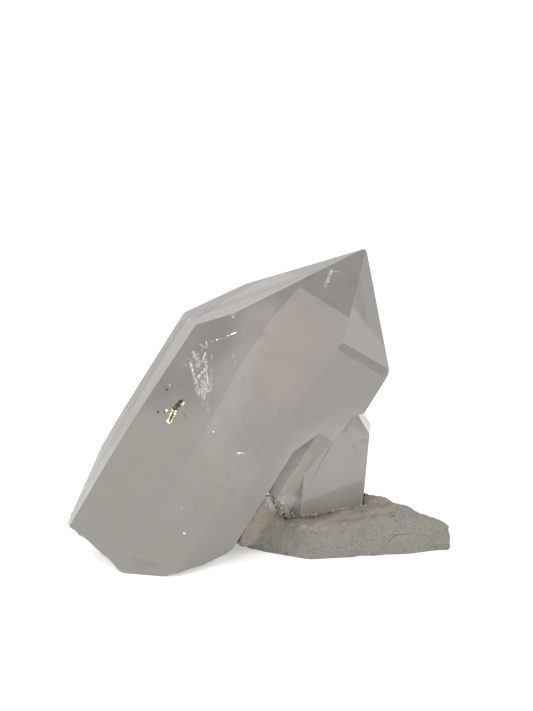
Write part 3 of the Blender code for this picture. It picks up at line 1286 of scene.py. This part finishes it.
@dataclass
class Inclusions:
    """What the crystals hold: veil, fractures, flakes, glints and specks, and crumbs in their joint.

    Attributes:
        depths: Finds places inside the crystals.
        light: Where the main light is, so that bright sheets catch it.
    """

    depths: CrystalDepths
    light: Vector

    def facing(self, pixel: Pixel) -> Vector:
        """Direction halfway between the camera and the main light.

        Args:
            pixel: Where in the photograph.

        Returns:
            The direction.
        """
        place = self.depths.inside(pixel, 3 * MM)
        to_camera = (self.depths.view.origin() - place).normalized()
        to_light = (self.light - place).normalized()
        return (to_camera + to_light).normalized()

    def drawn(self, swarm: Swarm, middle: Pixel, *strokes: Stroke) -> Swarm:
        """Fill a swarm with strokes that catch the main light.

        Args:
            swarm: The swarm.
            middle: Pixel in its middle.
            strokes: Its strokes.

        Returns:
            The swarm.
        """
        facing = self.facing(middle)
        for stroke in strokes:
            stroke.fill(swarm, self.depths, facing)
        return swarm

    def feather(self) -> Swarm:
        """The white feathery veil below the left shoulder."""
        return self.drawn(
            Swarm("feather_veil", Shape.SPLINTER, 0.22 * MM, 0.60 * MM, tilt=12.0, seed=11),
            (203.0, 375.0),
            Stroke((193, 352), (199, 366), 3.6, 7),
            Stroke((191, 363), (194, 376), 1.2, 10),
            Stroke((206, 352), (203, 359), 1.4, 6),
            Stroke((206, 342), (206, 347), 1.4, 4),
            Stroke((199, 377), (207, 367), 2.2, 9),
            Stroke((207, 374), (209, 386), 3.2, 8),
            Stroke((202, 382), (204, 394), 4.4, 7),
        )

    def bright_seam(self) -> Swarm:
        """The bright seam above the veil, and the sparks near it."""
        return self.drawn(
            Swarm("bright_seam", Shape.PLATE, 0.20 * MM, 0.42 * MM, tilt=8.0, seed=12),
            (225.0, 338.0),
            Stroke((211, 342), (213, 341.4), 0.4, 3),
            Stroke((216, 340), (228, 335.6), 0.3, 4),
            Stroke((230, 335), (236, 332.5), 0.5, 26),
            Stroke((232, 315), (234, 318), 0.8, 5),
            Stroke((238, 453), (243, 453), 0.7, 12),
            Stroke((181, 507.5), (182, 508.5), 0.5, 3),
            Stroke((183.5, 532.5), (185, 533.5), 0.8, 5),
            Stroke((212, 431), (214, 432), 0.5, 3),
            Stroke((342, 427), (344, 426), 0.8, 4),
        )

    def cloud(self) -> Swarm:
        """The white fractures at the foot of the companion, and the patch under the tip."""
        return self.drawn(
            Swarm("fracture_cloud", Shape.PLATE, 0.25 * MM, 0.8 * MM, tilt=14.0, seed=13),
            (283.0, 501.0),
            Stroke((268, 495), (280, 502), 6.0, 16),
            Stroke((281, 503), (287, 508), 2.6, 22),
            Stroke((288, 498), (297, 500), 5.0, 16),
            Stroke((331, 271), (326, 285), 2.4, 12),
        )

    def gold_flake(self) -> Swarm:
        """The long golden flake at the edge of the dark window, its gold colour a painted reflection."""
        return self.drawn(
            Swarm("gold_flake", Shape.PLATE, 0.35 * MM, 0.75 * MM, tilt=9.0, seed=14),
            (172.0, 413.0),
            Stroke((172.6, 409.5), (167.4, 421.5), 0.7, 44, -0.10 * MM),
            Stroke((176.0, 410.0), (171.5, 421.5), 0.6, 34, -0.10 * MM),
            Stroke((167.2, 422.0), (170.5, 423.4), 0.7, 14, -0.10 * MM),
            Stroke((182.2, 405.5), (183.6, 402.8), 0.6, 9, -0.10 * MM),
            Stroke((169.0, 386.8), (170.0, 384.8), 0.4, 4, -0.10 * MM),
            Stroke((165.4, 410.8), (167.0, 410.4), 0.4, 4, -0.10 * MM),
        )

    def dark_flake(self) -> Swarm:
        """The black parts of the golden flake, a painted dark reflection, and the dark squiggles."""
        return self.drawn(
            Swarm("dark_flake", Shape.PLATE, 0.35 * MM, 0.80 * MM, tilt=12.0, seed=15),
            (178.0, 405.0),
            Stroke((174.0, 409.5), (181.6, 399.8), 3.2, 110, -0.12 * MM),
            Stroke((173.4, 413.5), (170.0, 419.5), 1.1, 40, -0.12 * MM),
            Stroke((169.0, 422.0), (170.0, 422.6), 0.7, 8),
            Stroke((157.4, 411.2), (158.4, 412.4), 0.8, 8),
            Stroke((163.6, 411.2), (164.6, 411.4), 0.5, 3),
            Stroke((166.0, 390.2), (167.2, 388.4), 0.7, 7),
        )

    def specks(self, count: int = 240, along_foot_shade: int = 26) -> Swarm:
        """Tiny dark specks in the surface, and a row of them along the side crystal's foot as painted shade
        where it meets the rock.

        Args:
            count: How many are scattered over all the crystals.
            along_foot_shade: How many more lie along the side crystal's foot, as painted shade.

        Returns:
            The swarm.
        """
        swarm = Swarm("dark_specks", Shape.GRAIN, 0.06 * MM, 0.19 * MM, tilt=60.0, sides=4, seed=16)
        up = Vector((0.0, 0.0, 1.0))
        toward = self.depths.view.ray((266.0, 355.0))
        left, right, top, bottom = 75.0, 390.0, 250.0, 580.0
        while count:
            pixel = (swarm.dice.uniform(left, right), swarm.dice.uniform(top, bottom))
            place = self.depths.inside(pixel, swarm.dice.uniform(-0.05, 0.02) * MM)
            if place is not None:
                swarm.add(place, toward, up)
                count -= 1
        # Painted shade: dark specks along the side crystal's foot where it meets the rock.
        for step in range(along_foot_shade):
            pixel = Vector((300.0, 515.0)).lerp(Vector((362.0, 504.0)), step / along_foot_shade)
            drift = Vector((swarm.dice.gauss(0.0, 1.0), swarm.dice.gauss(0.0, 1.3)))
            swarm.add(self.depths.inside(tuple(pixel + drift), -0.05 * MM), toward, up)
        return swarm

    def crumbs(self) -> Swarm:
        """Crumbs of quartz and rock that fill the joint between the crystals and the slab."""
        swarm = Swarm("joint_crumbs", Shape.GRAIN, 0.55 * MM, 1.35 * MM, tilt=60.0, sides=6, seed=17)
        up = Vector((0.0, 0.0, 1.0))
        toward = self.depths.view.ray((300.0, 500.0))
        for node, start, end, count, drift, lower in (
            (CRYSTALS, (274.0, 498.0), (281.0, 505.5), 40, 0.45 * MM, 0.7 * MM),
            (CRYSTALS, (281.0, 505.5), (291.0, 512.5), 56, 0.50 * MM, 1.0 * MM),
            (CRYSTALS, (291.0, 512.5), (303.0, 512.5), 26, 0.35 * MM, 0.8 * MM),
            (CRYSTALS, (303.0, 512.5), (362.0, 502.0), 60, 0.20 * MM, 1.1 * MM),
            (SLAB, (275.0, 506.0), (281.0, 514.0), 30, 0.25 * MM, 0.2 * MM),
            (SLAB, (281.0, 514.0), (293.0, 517.5), 60, 0.30 * MM, 0.1 * MM),
        ):
            first = self.depths.joint(node, start)
            last = self.depths.joint(node, end)
            for _ in range(count):
                scatter = Vector([swarm.dice.gauss(0.0, drift) for _ in range(3)])
                place = first.lerp(last, swarm.dice.random()) + scatter - up * lower
                swarm.add(place, toward, up)
        return swarm

    def build(self) -> None:
        """Build and dress every kind of inclusion."""
        # The gold and black colours of the flake plates paint its reflection; the dark finish also colours
        # the specks.
        white = GlintFinish("white_fracture", (0.74, 0.72, 0.70), (0.58, 0.55, 0.53), 1.0, 0.34).make()
        gold = GlintFinish("golden_reflection_flake", (0.86, 0.76, 0.50), (0.48, 0.36, 0.17), 1.0, 0.24).make()
        dark = GlintFinish("dark_mineral_shade_and_reflection", (0.02, 0.018, 0.015), (0.06, 0.05, 0.04), 0.0, 0.4).make()
        self.feather().build(white, "quartz")
        self.bright_seam().build(white, "quartz")
        self.cloud().build(white, "quartz")
        self.gold_flake().build(gold, "quartz")
        self.dark_flake().build(dark, "quartz")
        self.specks().build(dark, "quartz")
        crumb = GlintFinish("joint_crumbs", (0.35, 0.335, 0.305), (0.27, 0.25, 0.21), 0.0, 0.6).make()
        self.crumbs().build(crumb, "matrix_rock")


@dataclass
class RockSlab:
    """The slab of matrix rock.

    Attributes:
        cuts: How often each edge of the solid is divided.
        lumps: Height and width of each size of relief.
        chip: Depth of the flat chips and their width.
        chip_level: The slab is pushed out this close to a chip's middle, as a share of its width.
        margin: The relief fades out this close above the underside.
    """

    cuts: int = 3
    lumps: Waves = ((0.30 * MM, 3.2 * MM), (0.20 * MM, 1.5 * MM), (0.14 * MM, 0.7 * MM))
    chip: tuple[float, float] = (0.45 * MM, 3.6 * MM)
    chip_level: float = 0.4
    margin: float = 0.6 * MM

    def build(self, material: Material) -> Piece:
        """Build and dress the slab.

        Args:
            material: The rock finish.

        Returns:
            The piece that stands for the slab.
        """
        mesh = solid_copy(SLAB)
        bmesh.ops.subdivide_edges(mesh, edges=mesh.edges[:], cuts=self.cuts, use_grid_fill=True, smooth=0.0)
        bmesh.ops.triangulate(mesh, faces=mesh.faces[:])
        self.break_up(mesh)
        for face in mesh.faces:
            face.smooth = True
        piece = put_in_scene(mesh, "matrix_rock", material)
        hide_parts(SLAB)
        return piece

    def break_up(self, mesh: Mesh) -> None:
        """Give the slab its lumps, ledges and chips.

        Args:
            mesh: The slab.
        """
        mesh.normal_update()
        depth, width = self.chip
        pushes = []
        for vertex in mesh.verts:
            push = waviness(vertex.co, self.lumps)
            push += depth * (self.chip_level - noise.voronoi(vertex.co / width)[0][0])
            pushes.append(push * min(1.0, max(0.0, vertex.co.z) / self.margin))
        push_out(mesh, pushes)


@dataclass(frozen=True)
class Lamp:
    """A soft light.

    Attributes:
        name: Its name.
        place: Where it is.
        size: Width of its square face.
        power: Its power in watts.
    """

    name: str
    place: Triple
    size: float
    power: float

    def build(self, target: Vector) -> None:
        """Put the light in the scene.

        Args:
            target: What it points at.
        """
        data = bpy.data.lights.new(self.name, "AREA")
        data.size = self.size
        data.energy = self.power
        lamp = add_object(self.name, data)
        lamp.location = self.place
        lamp.rotation_euler = (target - Vector(self.place)).to_track_quat("-Z", "Y").to_euler()


@dataclass
class Studio:
    """Floor, sky and soft lights.

    Attributes:
        floor_span: Width of the floor.
        drop: How far the floor lies below the cluster, so that the two do not touch.
        sky: Brightness of the even surroundings.
        key: The main light.
        fill: The light from the other side.
        target: What the lights point at.
    """

    floor_span: float = 8.0
    drop: float = 0.05 * MM
    sky: float = 1.0
    key: Lamp = Lamp("key_light", (-0.55, -0.65, 0.85), 0.5, 7.0)
    fill: Lamp = Lamp("fill_light", (0.8, -0.2, 0.6), 0.7, 2.0)
    target: Triple = (0.0, 0.0, 0.04)

    def build(self) -> None:
        """Build the floor, sky and lights."""
        mesh = bmesh.new()
        bmesh.ops.create_grid(mesh, x_segments=1, y_segments=1, size=self.floor_span / 2)
        bmesh.ops.translate(mesh, vec=(0.0, 0.0, -self.drop), verts=mesh.verts[:])
        floor = mesh_object(mesh, "pale_floor", FloorFinish().make())
        world = bpy.data.worlds.new("even_sky")
        world.use_nodes = True
        sky = world.node_tree.nodes["Background"].inputs
        sky["Color"].default_value = (1.0, 1.0, 1.0, 1.0)
        sky["Strength"].default_value = self.sky
        bpy.context.scene.world = world
        for lamp in (self.key, self.fill):
            lamp.build(Vector(self.target))
        bpy.context.scene.view_settings.view_transform = "Standard"


def main() -> None:
    """Build the studio, the crystals with what they hold, and the slab."""
    logging.basicConfig(level=logging.INFO, format="%(message)s")
    view = PhotoView()
    view.build()
    studio = Studio()
    studio.build()
    depths = CrystalDepths(view)

    tip = Vector((30.344, 9.032, 87.9)) * MM
    axis = Vector((0.5267, 0.116, 0.842)).normalized()
    marks = QuartzMarks(
        blushes=depths.spots(CRYSTALS, (292, 336), (282, 378)),
        stains=depths.marks(CRYSTALS, TAN_STAIN_AND_SHADOW_LINES),
        hazes_and_painted_light=depths.marks(CRYSTALS, HAZE_AND_LIGHT_LINES),
        veils_and_glints=depths.marks(CRYSTALS, VEIL_AND_GLINT_LINES),
        frosts_and_painted_light=depths.marks(CRYSTALS, FROST_AND_LIGHT_LINES),
        cracks=depths.marks(CRYSTALS, CRACK_LINES),
        solid=depths.spots(CRYSTALS, (345, 465), (308, 475)),
    )
    skin = QuartzSkin(pale_facing=depths.facing(CRYSTALS, (364, 300)))
    skin.build(QuartzFinish().make(tip, axis, marks))
    Inclusions(depths, Vector(studio.key.place)).build()

    rock = RockFinish().make(
        rust_and_light_centres=depths.spots(SLAB, (315, 522), (340, 514), (373, 500), (384, 509)),
        tans=depths.spots(SLAB, (247, 534), (262, 518)),
        pales=depths.spots(SLAB, (350, 540), (400, 528)),
        crusts=depths.marks(SLAB, (Line((268.0, 500.0), (277.0, 508.0), 5.0, 0.8),)),
        cracks=depths.marks(SLAB, ROCK_CRACK_LINES),
    )
    RockSlab().build(rock)


if __name__ == "__main__":
    main()
